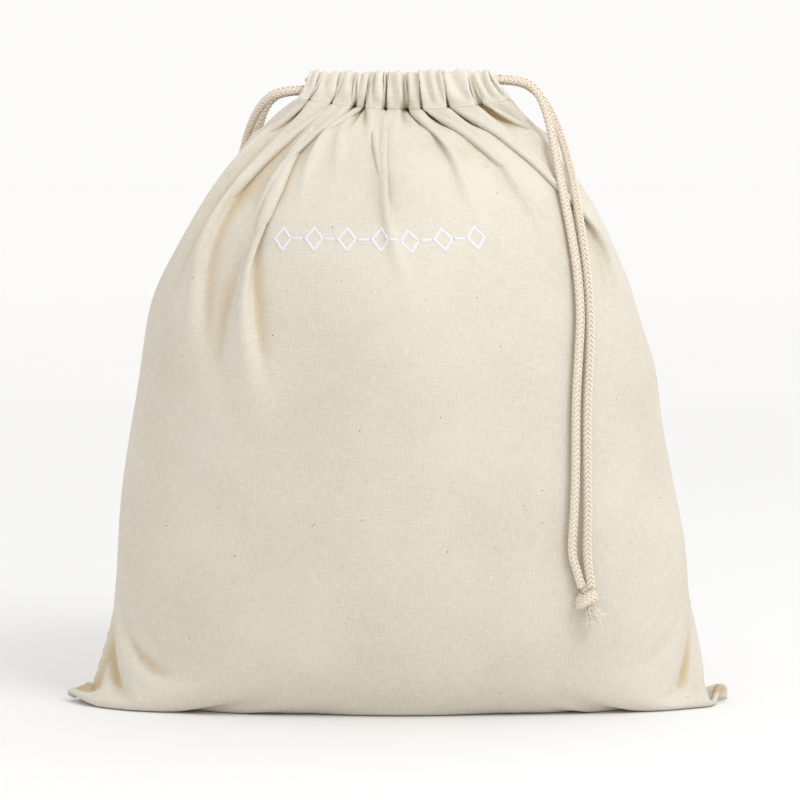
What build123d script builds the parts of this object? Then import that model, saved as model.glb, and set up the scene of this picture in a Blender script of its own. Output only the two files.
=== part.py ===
"""A filled cotton laundry bag with two drawcords, standing on its base.

Millimetres, +Z up.  The origin is the middle of the base, X runs across the bag
and -Y is the front.  The bag is two panels sewn at the sides and the bottom.
Each panel ends at the top in a gathered casing.  Each drawcord goes once round
the mouth through both casings and leaves them at its own side, where its two
ends hang down to one knot.
"""
from build123d import *
import os
from math import radians, tan

# ---- bag -------------------------------------------------------------------
FABRIC = 1.0            # thickness of a panel
NECK_Z = 382.0          # where the panels meet the casings
BOX = 1000.0            # larger than the bag, for cutting

# height, left and right half width and half depth of the filled bag
STATIONS = [
    (0, 166, 168, 52),
    (18, 181, 181, 68),
    (45, 184.5, 184, 80),
    (85, 184, 184, 89),
    (131, 181, 177.5, 96),
    (195, 172, 165, 104.5),
    (260, 160, 149.5, 108.5),
    (300, 143.5, 135, 102),
    (324, 131, 123, 87),
    (343, 118, 112, 70),
    (362, 101, 98, 50),
    (NECK_Z, 84, 81, 27),
]

# flat bottom corners that stick out past the filled body, as (x, z)
CORNER_OUTLINE = [(160, 0), (212.5, 0), (209, 10), (199, 25), (187, 38), (175, 42), (160, 42)]
CORNER_THICK = 8.0

# ---- seams and stitching ---------------------------------------------------
SEAM_WIDTH = 9.0        # overlocked allowance inside the bag
SEAM_THICK = 1.8
SEAM_CORNER_Z = 24.0    # where the bottom seam turns into the side seams
SIDE_SEAM_TOP = 368.0   # the cord slot is open above this
STITCH_Z = NECK_Z - 1.6
STITCH_HEIGHT = 0.8
THREAD_RELIEF = 0.5     # how far thread stands off the panel

# ---- embroidery: open diamonds joined by short bars ------------------------
MOTIF_X = -13.0
MOTIF_Z = 301.0
MOTIF_PITCH = 21.0
MOTIF_COUNT = 7
DIAMOND_WIDTH = 12.5
DIAMOND_HEIGHT = 15.0
STITCH_LINE = 1.7       # width of a satin-stitch line

# ---- casings ---------------------------------------------------------------
CASING_TOP = 405.0
CASING_Y = 18.0         # middle of a casing from the middle of the mouth
CASING_HALF_DEPTH = 9.0
CASING_HALF_LENGTH = 62.0
CASING_MITRE = 20.0     # how much shorter the mouth side is at each end
CASING_ROUND = 4.0

# ---- drawcords -------------------------------------------------------------
CORD = 6.0
CORD_LEVEL = {"right": 400.4, "left": 393.6}
CHANNEL_GAP = 0.6       # round the two cords inside a casing
TURN_X = CASING_HALF_LENGTH - 15.0
DRAW_LENGTH = CASING_HALF_LENGTH    # straight cord that can be drawn out of the casing
BODY_GAP = 0.5          # between a fixed loop and the length that draws out
KNOT = (14.5, 13.0, 17.0)
KNOT_GRIP = 2.5         # how deep a strand or a cut end sits in the knot
TUFT_LENGTH = 13.0
TUFT_RADIUS = (2.6, 5.0)

# Routes of the right cord's hanging ends, from the casing's end to the knot.
ROUTES = {
    ("right", "front"): [
        (62, -18, 400.4), (75.5, -18, 400.4), (86.5, -18, 392.5), (93, -21, 374.5),
        (96.5, -32, 353), (100, -50.5, 331), (104, -66.5, 307.5), (108, -75, 282),
        (110, -80, 255), (108.5, -83, 229.5), (107, -83.5, 203), (107, -83.5, 177),
        (107, -83, 151), (106, -82, 126.5), (104.5, -81, 107.5), (108.2, -79.5, 95.5),
        (111.2, -77.5, 85.5),
    ],
    ("right", "back"): [
        (62, 18, 400.4), (75.5, 17, 400.4), (87, 11, 393), (96, -1, 378.5),
        (102.5, -17, 359), (107, -37, 338), (110, -56, 314.5), (113.5, -67, 288),
        (116, -73.5, 261), (116, -77.5, 234), (114.5, -79.5, 207), (114, -80, 181),
        (114.5, -79.5, 155), (115, -78.5, 130.5), (114.5, -78, 109.5), (115.6, -77.5, 96),
        (117.6, -76.5, 85),
    ],
}
LEFT_STAND_OFF = 8.5    # the bag is fuller on its left, where the other cord hangs


def filled_bag(inset, floor, top=NECK_Z):
    """The filled shape, drawn in from the outer face by inset, from floor up to top."""
    sections = []
    for height, left, right, half_depth in STATIONS:
        height = max(height, floor)
        if height == NECK_Z:
            height = top
        section = Ellipse((left + right) / 2 - inset, half_depth - inset)
        sections.append(Pos((right - left) / 2, 0, height) * section)
    return loft(sections)


def half_space(side):
    """Everything in front of (-1) or behind (+1) the side seams."""
    return Pos(0, side * BOX / 2, 0) * Box(BOX, BOX, 2 * BOX)


def slab(low, high):
    """Everything between two heights."""
    return Pos(0, 0, (low + high) / 2) * Box(BOX, BOX, high - low)


def corners():
    """The two flat bottom corners."""
    outline = Plane.XZ * make_face(Polyline(*CORNER_OUTLINE, close=True))
    right = extrude(outline, CORNER_THICK / 2, both=True)
    return right + mirror(right, Plane.YZ)


def make_panels(outer, cavity):
    shell = outer + corners() - cavity
    return {"front_panel": shell & half_space(-1), "back_panel": shell & half_space(1)}


def make_seams(cavity):
    """The overlocked allowance that runs inside both sides and along the bottom."""
    inside = filled_bag(FABRIC + SEAM_WIDTH, FABRIC + SEAM_WIDTH, NECK_Z + 1)
    ribbon = (cavity - inside) & Box(BOX, SEAM_THICK, 2 * BOX)
    sides = ribbon & slab(SEAM_CORNER_Z, SIDE_SEAM_TOP)
    return {
        "bottom_seam": ribbon & slab(-FABRIC, SEAM_CORNER_Z),
        "left_side_seam": sides & (Pos(-BOX / 2, 0, 0) * Box(BOX, BOX, 2 * BOX)),
        "right_side_seam": sides & (Pos(BOX / 2, 0, 0) * Box(BOX, BOX, 2 * BOX)),
    }


def make_casing(side):
    """A gathered casing: a mitred bar with one channel for both cords."""
    outer, inner = CASING_Y + CASING_HALF_DEPTH, CASING_Y - CASING_HALF_DEPTH
    short = CASING_HALF_LENGTH - CASING_MITRE
    plan = Polyline(
        (-CASING_HALF_LENGTH, side * outer), (CASING_HALF_LENGTH, side * outer),
        (short, side * inner), (-short, side * inner), close=True,
    )
    bar = Pos(0, 0, NECK_Z) * extrude(make_face(plan), CASING_TOP - NECK_Z, dir=(0, 0, 1))
    top_edges = bar.edges().filter_by(Axis.X).group_by(Axis.Z)[-1]
    bar = fillet(top_edges, CASING_ROUND)
    width = CORD + 2 * CHANNEL_GAP
    height = CORD_LEVEL["right"] - CORD_LEVEL["left"] + width
    middle = (CORD_LEVEL["right"] + CORD_LEVEL["left"]) / 2
    section = Plane.YZ * Pos(side * CASING_Y, middle) * RectangleRounded(width, height, width / 2 - 0.01)
    return bar - extrude(section, BOX / 2, both=True)


def make_stitching(side, outer):
    """The row of stitches that closes a casing."""
    skin = filled_bag(-THREAD_RELIEF, 0) - outer
    return skin & slab(STITCH_Z - STITCH_HEIGHT / 2, STITCH_Z + STITCH_HEIGHT / 2) & half_space(side)


def make_motif(outer):
    """A row of open diamonds with a bar between each two, raised on the front panel."""
    width, height, line = DIAMOND_WIDTH / 2, DIAMOND_HEIGHT / 2, STITCH_LINE
    hole = (height - line * 1.3) / height
    shapes = []
    for index in range(MOTIF_COUNT):
        x = MOTIF_X + (index - (MOTIF_COUNT - 1) / 2) * MOTIF_PITCH
        for scale_by in (1.0, hole):
            w, h = width * scale_by, height * scale_by
            ring = make_face(Polyline((-w, 0), (0, -h), (w, 0), (0, h), close=True))
            shapes.append((Pos(x, MOTIF_Z) * ring, scale_by == 1.0))
        if index:
            bar = Pos(x - MOTIF_PITCH / 2, MOTIF_Z) * Rectangle(MOTIF_PITCH - DIAMOND_WIDTH - 2 * line, line)
            shapes.append((bar, True))
    flat = Sketch() + [shape for shape, solid in shapes if solid]
    flat = flat - [shape for shape, solid in shapes if not solid]
    cutter = extrude(Plane.XZ * flat, BOX / 2, dir=(0, -1, 0))
    skin = (filled_bag(-THREAD_RELIEF, 0) - outer) & slab(MOTIF_Z - height - 2, MOTIF_Z + height + 2)
    return skin & cutter


def cord_along(route, radii, start_direction):
    """A round cord along straight runs that are joined by tangent arcs."""
    path = FilletPolyline(*route, radius=radii)
    section = Plane(origin=route[0], z_dir=start_direction) * Circle(CORD / 2)
    return sweep(section, path)


def largest_radii(route):
    """The largest arc that each corner's two runs allow."""
    points = [Vector(*point) for point in route]
    radii = []
    for before, here, after in zip(points, points[1:], points[2:]):
        turn = (here - before).get_angle(after - here)
        shorter = min((here - before).length, (after - here).length)
        radii.append(0.45 * shorter / tan(radians(turn) / 2))
    return radii


def make_loop(side):
    """The part of a drawcord that stays in the casings and turns at the far side."""
    out = 1 if side == "right" else -1
    level = CORD_LEVEL[side]
    turn = CASING_Y - 0.05
    start = out * (CASING_HALF_LENGTH - DRAW_LENGTH - BODY_GAP)
    far = -out * (TURN_X + CASING_Y)
    route = [(start, -CASING_Y, level), (far, -CASING_Y, level), (far, CASING_Y, level), (start, CASING_Y, level)]
    return cord_along(route, [turn, turn], (-out, 0, 0))


def make_draw_length(side, layer):
    """The straight cord inside one casing that comes out when the cord is pulled."""
    out = 1 if side == "right" else -1
    y = -CASING_Y if layer == "front" else CASING_Y
    middle = out * (CASING_HALF_LENGTH - DRAW_LENGTH / 2)
    return Pos(middle, y, CORD_LEVEL[side]) * Rot(0, 90, 0) * Cylinder(CORD / 2, DRAW_LENGTH)


def make_hanging_cord(side, layer):
    """One hanging end of a drawcord, from the casing to the knot."""
    route = ROUTES[side, layer]
    radii = largest_radii(route)
    strand = cord_along(route, radii, (1 if side == "right" else -1, 0, 0))
    print(side, layer, "length", round(strand.volume / Circle(CORD / 2).area, 1), "radii", [round(r) for r in radii])
    return strand


def knot_centre(side):
    ends = [Vector(*ROUTES[side, layer][-1]) for layer in ("front", "back")]
    middle = (ends[0] + ends[1]) * 0.5
    return middle.X, middle.Y, middle.Z - KNOT[2] / 2 + KNOT_GRIP


def knot_shape(side):
    x, y, z = knot_centre(side)
    return Pos(x, y, z) * scale(Sphere(0.5), by=KNOT)


def make_knot(side, strands):
    """The knot that joins the two ends, as its outer shape, with a seat for each strand."""
    return knot_shape(side) - strands


def make_frayed_ends(side):
    """The two short cut ends that splay out under the knot."""
    x, y, z = knot_centre(side)
    out = 1 if side == "right" else -1
    foot = Pos(x, y, z - KNOT[2] / 2 + KNOT_GRIP)
    ends = []
    for lean in (8, 42):
        tuft = Pos(0, 0, -TUFT_LENGTH / 2) * Cone(TUFT_RADIUS[1], TUFT_RADIUS[0], TUFT_LENGTH)
        ends.append(foot * Rot(0, -out * lean, 0) * tuft)
    return ends[0] + ends[1] - knot_shape(side)


def add_left_routes():
    """The left cord hangs behind the bag: the right one turned half round, from its own level."""
    drop = CORD_LEVEL["right"] - CORD_LEVEL["left"]
    for layer, other in (("front", "back"), ("back", "front")):
        route = []
        for index, (x, y, z) in enumerate(ROUTES["right", layer]):
            near_casing = min(1, max(0, (5 - index) / 4))
            fullness = min(1, max(0.25, (15 - index) / 6))
            stand_off = LEFT_STAND_OFF * fullness * (1 - near_casing)
            route.append((-x, -y + stand_off, z - drop * near_casing))
        ROUTES["left", other] = route


def main():
    os.makedirs("parts", exist_ok=True)
    add_left_routes()
    outer = filled_bag(0, 0)
    cavity = filled_bag(FABRIC, FABRIC, NECK_Z + 1)
    nodes = {}
    nodes.update(make_panels(outer, cavity))
    nodes.update(make_seams(cavity))
    nodes["embroidered_motif"] = make_motif(outer)
    for layer, side in (("front", -1), ("back", 1)):
        nodes[f"{layer}_casing"] = make_casing(side)
        nodes[f"{layer}_casing_stitching"] = make_stitching(side, outer)
    for side in ("right", "left"):
        nodes[f"{side}_cord_loop"] = make_loop(side)
        strands = []
        for layer in ("front", "back"):
            strands.append(make_hanging_cord(side, layer))
            nodes[f"{side}_{layer}_hanging_cord"] = strands[-1]
            nodes[f"{side}_{layer}_draw_length"] = make_draw_length(side, layer)
        nodes[f"{side}_knot"] = make_knot(side, strands)
        nodes[f"{side}_frayed_ends"] = make_frayed_ends(side)
    for name, shape in nodes.items():
        export_step(shape, f"parts/{name}.step")


main()
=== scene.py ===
"""The looks of a filled cotton laundry bag with two drawcords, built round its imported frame.

Metres, +Z up, +X to the right and -Y to the front.  The order of making is the camera and
stage, the cords, the two panels as simulated cloth, the casings, and what is sewn to them.
"""

import math

import bpy
import numpy as np
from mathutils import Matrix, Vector


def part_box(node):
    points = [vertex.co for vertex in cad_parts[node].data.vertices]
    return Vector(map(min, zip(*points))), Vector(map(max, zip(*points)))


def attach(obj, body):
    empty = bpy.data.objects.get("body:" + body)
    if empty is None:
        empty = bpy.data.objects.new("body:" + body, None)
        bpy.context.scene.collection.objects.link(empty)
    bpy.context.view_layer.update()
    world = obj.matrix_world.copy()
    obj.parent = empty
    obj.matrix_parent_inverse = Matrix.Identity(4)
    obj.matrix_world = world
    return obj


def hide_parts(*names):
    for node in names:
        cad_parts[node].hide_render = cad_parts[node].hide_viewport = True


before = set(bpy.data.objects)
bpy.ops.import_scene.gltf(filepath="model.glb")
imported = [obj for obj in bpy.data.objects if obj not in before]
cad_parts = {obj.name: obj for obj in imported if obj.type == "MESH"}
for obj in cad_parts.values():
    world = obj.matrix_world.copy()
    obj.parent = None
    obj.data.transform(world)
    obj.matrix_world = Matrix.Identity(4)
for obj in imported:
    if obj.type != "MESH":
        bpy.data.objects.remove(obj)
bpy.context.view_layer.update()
MM = 0.001
FLOAT = np.float32

# ---- places taken from the frame ----
NECK_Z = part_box("front_panel")[1].z  # where the panels meet the casings
CASING_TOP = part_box("front_casing")[1].z
DRAW_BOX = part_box("right_front_draw_length")
CORD = DRAW_BOX[1].z - DRAW_BOX[0].z  # diameter of a drawcord
CORD_Y = -(DRAW_BOX[0].y + DRAW_BOX[1].y) / 2  # the cords lie this far from the middle of the mouth
MOTIF_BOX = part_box("embroidered_motif")
OUT = {"right": 1, "left": -1}  # the way each cord is drawn, along x

# ---- camera, light and stage ----
CAMERA_TARGET = Vector((-0.0013, 0, 0.1956))
CAMERA_DISTANCE = 2.0
CAMERA_ELEVATION = math.radians(4.5)
CAMERA_LENS = 140.0
STAGE_RADIUS = 40.0  # the floor runs to the horizon, where it meets a white world


def placed(name, data, place, forward):
    """A camera or lamp at a place, looking along forward."""
    thing = bpy.data.objects.new(name, data)
    bpy.context.collection.objects.link(thing)
    thing.location = place
    thing.rotation_euler = forward.to_track_quat("-Z", "Y").to_euler()
    return thing


def camera():
    data = bpy.data.cameras.new("camera")
    data.lens = CAMERA_LENS
    back = Vector((0, -math.cos(CAMERA_ELEVATION), math.sin(CAMERA_ELEVATION)))
    bpy.context.scene.camera = placed("camera", data, CAMERA_TARGET + back * CAMERA_DISTANCE, -back)


def area_light(name, place, aim, size, power, colour=(1, 1, 1)):
    data = bpy.data.lights.new(name, "AREA")
    data.size = size
    data.energy = power
    data.color = colour
    placed(name, data, place, Vector(aim) - Vector(place))


def lights():
    world = bpy.data.worlds.new("studio")
    bpy.context.scene.world = world
    world.use_nodes = True
    background = world.node_tree.nodes["Background"]
    background.inputs["Color"].default_value = (1.0, 0.994, 0.982, 1)
    background.inputs["Strength"].default_value = 0.97
    area_light("key", (0.95, -1.16, 1.66), (0, 0, 0.26), 0.8, 17, (0.97, 0.985, 1.0))
    bpy.context.scene.view_settings.view_transform = "Standard"


def stage():
    """A round floor, paler far away, where the key light doesn't reach."""
    turns = 96
    angles = np.linspace(0, 2 * math.pi, turns, endpoint=False)
    rings = [[(r * math.cos(a), r * math.sin(a), 0) for a in angles] for r in (0.001, 1, 4, STAGE_RADIUS)]
    material = material_of("pale floor", (0.88, 0.88, 0.88), 0.9)
    nodes = Nodes(material)
    place = nodes.add("ShaderNodeTexCoord").outputs["Object"]
    near = nodes.add("ShaderNodeMapping", {"Vector": place, "Scale": (0.16, 0.16, 0.16)}).outputs[0]
    closeness = nodes.add("ShaderNodeTexGradient", {"Vector": near}, gradient_type="SPHERICAL").outputs[1]
    tones = [(0.0, (1, 1, 1)), (0.55, (0.95, 0.95, 0.95)), (0.95, (0.84, 0.84, 0.84))]
    nodes.colour(nodes.ramp(closeness, tones))
    floor = grid_object("stage", np.array(rings), material, wrap=True)


# ---- meshes ----
def grid_faces(rows, columns, wrap=False, flip=False):
    """Quads of a grid of points; wrap also joins the last column to the first."""
    r = np.arange(rows - 1)[:, None]
    c = np.arange(columns if wrap else columns - 1)[None, :]
    n = (c + 1) % columns
    quads = np.stack([r * columns + c, r * columns + n, (r + 1) * columns + n, (r + 1) * columns + c], -1)
    quads = quads.reshape(-1, 4)
    return quads[:, ::-1] if flip else quads


def new_object(name, points, quads, material, flat=None):
    """A smooth mesh from points and quads; flat gives each point its place in the flat cloth or cord."""
    points = np.asarray(points, float).reshape(-1, 3)
    quads = np.asarray(quads, np.int32)
    mesh = bpy.data.meshes.new(name)
    mesh.vertices.add(len(points))
    mesh.vertices.foreach_set("co", points.astype(FLOAT).ravel())
    mesh.loops.add(quads.size)
    mesh.loops.foreach_set("vertex_index", quads.ravel())
    mesh.polygons.add(len(quads))
    mesh.polygons.foreach_set("loop_start", np.arange(0, quads.size, 4, dtype=np.int32))
    mesh.polygons.foreach_set("use_smooth", np.ones(len(quads), bool))
    if flat is not None:
        layer = mesh.uv_layers.new(name="flat")
        uv = np.asarray(flat, FLOAT).reshape(-1, 2)[quads.ravel()]
        layer.data.foreach_set("uv", uv.ravel())
    mesh.update()
    mesh.validate()
    mesh.materials.append(material)
    piece = bpy.data.objects.new(name, mesh)
    bpy.context.collection.objects.link(piece)
    return piece


def grid_object(name, points, material, flat=None, wrap=False, flip=False):
    rows, columns = points.shape[:2]
    return new_object(name, points, grid_faces(rows, columns, wrap, flip), material, flat)


def thicken(piece, thickness):
    solid = piece.modifiers.new("thickness", "SOLIDIFY")
    solid.thickness = thickness
    solid.offset = 0


def finish_piece(piece, body, slot, *nodes):
    """Puts a piece on its body and lets it stand for its CAD nodes, which it hides; slot is not used."""
    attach(piece, body)
    if nodes:
        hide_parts(*nodes)
    return piece


def lengths_along(points):
    steps = np.linalg.norm(np.diff(points, axis=0), axis=1)
    return np.concatenate([[0], np.cumsum(steps)])


def points_at(marks, along, points):
    """Where a line is at each mark; along is how far along the line its own points are."""
    return np.stack([np.interp(marks, along, points[:, k]) for k in range(3)], 1)


def evenly(points, step):
    """The same line as points about one step apart."""
    along = lengths_along(points)
    return points_at(np.linspace(0, along[-1], max(2, round(along[-1] / step)) + 1), along, points)


def paired(first, second):
    """Two arrays broadcast together, their values side by side."""
    return np.stack(np.broadcast_arrays(first, second), -1)


def frames_along(points):
    """Tangent and two normals at each point, with as little twist as possible."""
    tangent = np.gradient(points, axis=0)
    tangent /= np.linalg.norm(tangent, axis=1)[:, None]
    side = np.cross(tangent[0], (0.3, 0.2, 0.93))
    sides = []
    for direction in tangent:
        side = side - direction * side.dot(direction)
        side = side / np.linalg.norm(side)
        sides.append(side)
    sides = np.array(sides)
    return tangent, sides, np.cross(tangent, sides)


def tube(points, width, height=None, corners=6, taper=False):
    """Points and quads of a tube of elliptical section along a line."""
    tangent, side, up = frames_along(points)
    angle = np.linspace(0, 2 * math.pi, corners, endpoint=False)
    half = np.full(len(points), 1.0)
    if taper:
        half = np.sqrt(np.clip(1 - np.linspace(-1, 1, len(points)) ** 4, 0.02, 1))
    height = width if height is None else height
    wide = (np.cos(angle)[None, :] * half[:, None] * width)[..., None] * side[:, None]
    tall = (np.sin(angle)[None, :] * half[:, None] * height)[..., None] * up[:, None]
    ring = points[:, None] + wide + tall
    return ring.reshape(-1, 3), grid_faces(len(points), corners, wrap=True)


def join(parts):
    """One set of points and quads from several."""
    points, quads, start = [], [], 0
    for some_points, some_quads in parts:
        points.append(some_points)
        quads.append(some_quads + start)
        start += len(some_points)
    return np.concatenate(points), np.concatenate(quads)


# ---- materials ----
def material_of(name, colour, roughness, sheen=0.0):
    """A new material with its principled shader set; nodes are added by its caller."""
    material = bpy.data.materials.new(name)
    material.use_nodes = True
    skin = material.node_tree.nodes["Principled BSDF"]
    skin.inputs["Base Color"].default_value = (*colour, 1)
    skin.inputs["Roughness"].default_value = roughness
    skin.inputs["Specular IOR Level"].default_value = 0.2
    skin.inputs["Sheen Weight"].default_value = sheen
    skin.inputs["Sheen Roughness"].default_value = 0.6
    return material


class Nodes:
    """Short calls for building one material's nodes."""

    def __init__(self, material):
        self.tree = material.node_tree
        self.skin = self.tree.nodes["Principled BSDF"]

    def add(self, kind, inputs=None, **settings):
        node = self.tree.nodes.new(kind)
        for key, value in settings.items():
            setattr(node, key, value)
        for key, value in (inputs or {}).items():
            if isinstance(value, bpy.types.NodeSocket):
                self.tree.links.new(value, node.inputs[key])
            else:
                node.inputs[key].default_value = value
        return node

    def flat(self, scale=(1, 1, 1)):
        """Metres in the flat cloth, or along and across the cord, times a scale."""
        place = self.add("ShaderNodeUVMap", uv_map="flat")
        return self.add("ShaderNodeMapping", {"Vector": place.outputs[0], "Scale": scale}).outputs[0]

    def noise(self, vector, scale, detail=2.0):
        inputs = {"Vector": vector, "Scale": scale, "Detail": detail}
        return self.add("ShaderNodeTexNoise", inputs).outputs[0]

    def math(self, operation, first, second):
        return self.add("ShaderNodeMath", {0: first, 1: second}, operation=operation).outputs[0]

    def ramp(self, factor, stops):
        node = self.add("ShaderNodeValToRGB", {"Fac": factor})
        elements = node.color_ramp.elements
        while len(elements) < len(stops):
            elements.new(0.5)
        for element, (place, colour) in zip(elements, stops):
            element.position = place
            element.color = (*colour, 1)
        return node.outputs[0]

    def mix(self, factor, first, second, blend="MIX"):
        inputs = {"Factor": factor, 6: first, 7: second}
        return self.add("ShaderNodeMix", inputs, data_type="RGBA", blend_type=blend).outputs[2]

    def bands(self, vector, pitch, distortion, direction, detail_scale=1.0):
        """Threads or stitches a pitch apart."""
        inputs = {
            "Vector": vector, "Scale": WAVES_PER_METRE / pitch, "Distortion": distortion,
            "Detail": 1.0, "Detail Scale": detail_scale,
        }
        return self.add("ShaderNodeTexWave", inputs, bands_direction=direction).outputs[1]

    def paint_shade(self, base, tint):
        """Colours the piece, with painted shade mixed in where its "fold" attribute is high."""
        fold = self.add("ShaderNodeAttribute", attribute_name="fold").outputs[2]
        self.colour(self.mix(fold, base, self.mix(1.0, base, (*tint, 1), "MULTIPLY")))

    def colour(self, socket):
        self.tree.links.new(socket, self.skin.inputs["Base Color"])

    def bump(self, height, distance, strength=1.0):
        inputs = {"Height": height, "Distance": distance, "Strength": strength}
        node = self.add("ShaderNodeBump", inputs)
        self.tree.links.new(node.outputs[0], self.skin.inputs["Normal"])


THREAD_PITCH = 0.00085  # of the plain weave
SATIN_PITCH = 0.00042  # of the embroidery's stitches
WAVES_PER_METRE = 2 * math.pi / 20  # a wave texture's scale for one band per metre
FOLD_SHADE_TINT = (0.84, 0.705, 0.510)  # painted shade: a warm darker tone mixed into the cloth in its folds, on top of the lights' own shading
STRAND_GAP_SHADE_TINT = (0.60, 0.44, 0.29)  # painted shade between the strands of a cord


def canvas(name, light, dark):
    """Unbleached plain-weave cotton with uneven threads, seed specks and pale nubs, and painted shade in
    its folds.
    """
    material = material_of(name, light, 0.94, sheen=0.08)
    nodes = Nodes(material)
    flat = nodes.flat()
    heights = [nodes.bands(flat, THREAD_PITCH, 1.6, direction, 0.35) for direction in ("X", "Y")]
    weave = nodes.math("MULTIPLY", nodes.math("ADD", *heights), 0.5)
    warp = nodes.noise(nodes.flat((1150, 130, 1)), 1.0)
    weft = nodes.noise(nodes.flat((130, 1150, 1)), 1.0)
    threads = nodes.math("MULTIPLY", nodes.math("ADD", warp, weft), 0.5)
    cloud = nodes.noise(flat, 14.0, 3.0)
    fuzz = nodes.noise(flat, 1500.0, 1.0)
    grain = nodes.math("ADD", nodes.math("MULTIPLY", threads, 0.45), nodes.math("MULTIPLY", fuzz, 0.30))
    tone = nodes.math("ADD", grain, nodes.math("MULTIPLY", cloud, 0.25))
    base = nodes.ramp(tone, [(0.41, dark), (0.57, light)])
    gaps = nodes.ramp(weave, [(0.1, (0.90, 0.88, 0.84)), (0.55, (1, 1, 1))])
    cloth = nodes.mix(1.0, base, gaps, "MULTIPLY")
    for spacing, radius, share, colour in (
        (0.010, 0.046, 0.60, (0.30, 0.19, 0.10)),
        (0.007, 0.055, 0.50, (0.50, 0.38, 0.24)),
        (0.010, 0.050, 0.30, (0.80, 0.76, 0.68)),
    ):
        cells = nodes.add("ShaderNodeTexVoronoi", {"Vector": flat, "Scale": 1 / spacing})
        near = nodes.math("LESS_THAN", cells.outputs["Distance"], radius)
        chosen = nodes.add("ShaderNodeSeparateColor", {0: cells.outputs["Color"]})
        some = nodes.math("LESS_THAN", chosen.outputs[0], share)
        cloth = nodes.mix(nodes.math("MULTIPLY", near, some), cloth, (*colour, 1))
    # painted shade: the cloth darkened and warmed where it lies deep in a fold
    nodes.paint_shade(cloth, FOLD_SHADE_TINT)
    nodes.bump(nodes.math("ADD", weave, threads), 0.00016, 0.55)
    return material


def yarn(name, light, dark, pitch=0.0011):
    """Soft twisted cotton yarn: fine diagonal plies and fuzz, with painted shade between a cord's strands.
    """
    material = material_of(name, light, 0.9, sheen=0.2)
    nodes = Nodes(material)
    flat = nodes.flat()
    plies = nodes.bands(flat, pitch, 1.0, "DIAGONAL")
    fuzz = nodes.noise(flat, 900.0, 2.0)
    tone = nodes.math("ADD", nodes.math("MULTIPLY", plies, 0.6), nodes.math("MULTIPLY", fuzz, 0.4))
    base = nodes.ramp(tone, [(0.25, dark), (0.65, light)])
    # painted shade between the strands, where the fold attribute is high
    nodes.paint_shade(base, STRAND_GAP_SHADE_TINT)
    nodes.bump(tone, 0.00022, 0.8)
    return material


def satin_thread(name, light, dark):
    """Glossy embroidery thread whose stitches lie across each line."""
    material = material_of(name, light, 0.42, sheen=0.1)
    nodes = Nodes(material)
    stitches = nodes.bands(nodes.flat(), SATIN_PITCH, 0.5, "X")
    nodes.colour(nodes.ramp(stitches, [(0.15, dark), (0.6, light)]))
    nodes.bump(stitches, 0.00012, 0.8)
    return material


CANVAS = canvas("cotton canvas", (0.722, 0.679, 0.594), (0.616, 0.568, 0.478))
# painted light: the panels' canvas made lighter for the casings, which catch less light than the cloth
# below them
BRIGHTENED_CASING_CANVAS = canvas("casing canvas", (0.775, 0.735, 0.655), (0.675, 0.628, 0.540))
SEAM_CLOTH = canvas("seam allowance canvas", (0.690, 0.640, 0.535), (0.570, 0.515, 0.415))
CORD_YARN = yarn("braided cotton cord", (0.860, 0.795, 0.695), (0.740, 0.660, 0.550))
# painted light: the cord's yarn made lighter for the loose fibres, against the shade they cast on each
# other
BRIGHTENED_FRAYED_YARN = yarn("frayed cotton yarn", (0.95, 0.89, 0.79), (0.86, 0.77, 0.65))
SEWING_THREAD = yarn("sewing thread", (0.82, 0.79, 0.71), (0.66, 0.62, 0.53), 0.0004)
SATIN = satin_thread("white satin thread", (0.86, 0.86, 0.89), (0.66, 0.65, 0.71))

# ---- cords ----
BRAID_STRANDS = 6  # each way round
BRAID_LAY = 0.0180  # one turn of a strand
BRAID_STEP = 0.0006
STRAND_MIDDLE = 0.355  # of the cord's diameter
STRAND_RISE = 0.055  # how far strands pass over and under each other
STRAND_WIDTH = 0.160
STRAND_THICK = 0.088

# Routes of the right cord's hanging ends, from the casing's end to the knot, in millimetres.
ROUTES = {
    ("right", "front"): [
        (62, -18, 400.4), (75.5, -18, 400.4), (86.5, -18, 392.5), (93, -21, 374.5),
        (96.5, -32, 353), (100, -50.5, 331), (104, -66.5, 307.5), (108, -75, 282),
        (110, -80, 255), (108.5, -83, 229.5), (107, -83.5, 203), (107, -83.5, 177),
        (107, -83, 151), (106, -82, 126.5), (104.5, -81, 107.5), (108.2, -79.5, 95.5),
        (111.2, -77.5, 85.5),
    ],
    ("right", "back"): [
        (62, 18, 400.4), (75.5, 17, 400.4), (87, 11, 393), (96, -1, 378.5),
        (102.5, -17, 359), (107, -37, 338), (110, -56, 314.5), (113.5, -67, 288),
        (116, -73.5, 261), (116, -77.5, 234), (114.5, -79.5, 207), (114, -80, 181),
        (114.5, -79.5, 155), (115, -78.5, 130.5), (114.5, -78, 109.5), (115.6, -77.5, 96),
        (117.6, -76.5, 85),
    ],
}
CORD_LEVEL = {"right": 400.4, "left": 393.6}
LEFT_STAND_OFF = 8.5  # the bag is fuller on its left, where the other cord hangs


def add_left_routes():
    """The left cord hangs behind the bag: the right one turned half round, from its own level."""
    drop = CORD_LEVEL["right"] - CORD_LEVEL["left"]
    for layer, other in (("front", "back"), ("back", "front")):
        route = []
        for index, (x, y, z) in enumerate(ROUTES["right", layer]):
            near_casing = min(1, max(0, (5 - index) / 4))
            fullness = min(1, max(0.25, (15 - index) / 6))
            stand_off = LEFT_STAND_OFF * fullness * (1 - near_casing)
            route.append((-x, -y + stand_off, z - drop * near_casing))
        ROUTES["left", other] = route


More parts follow.
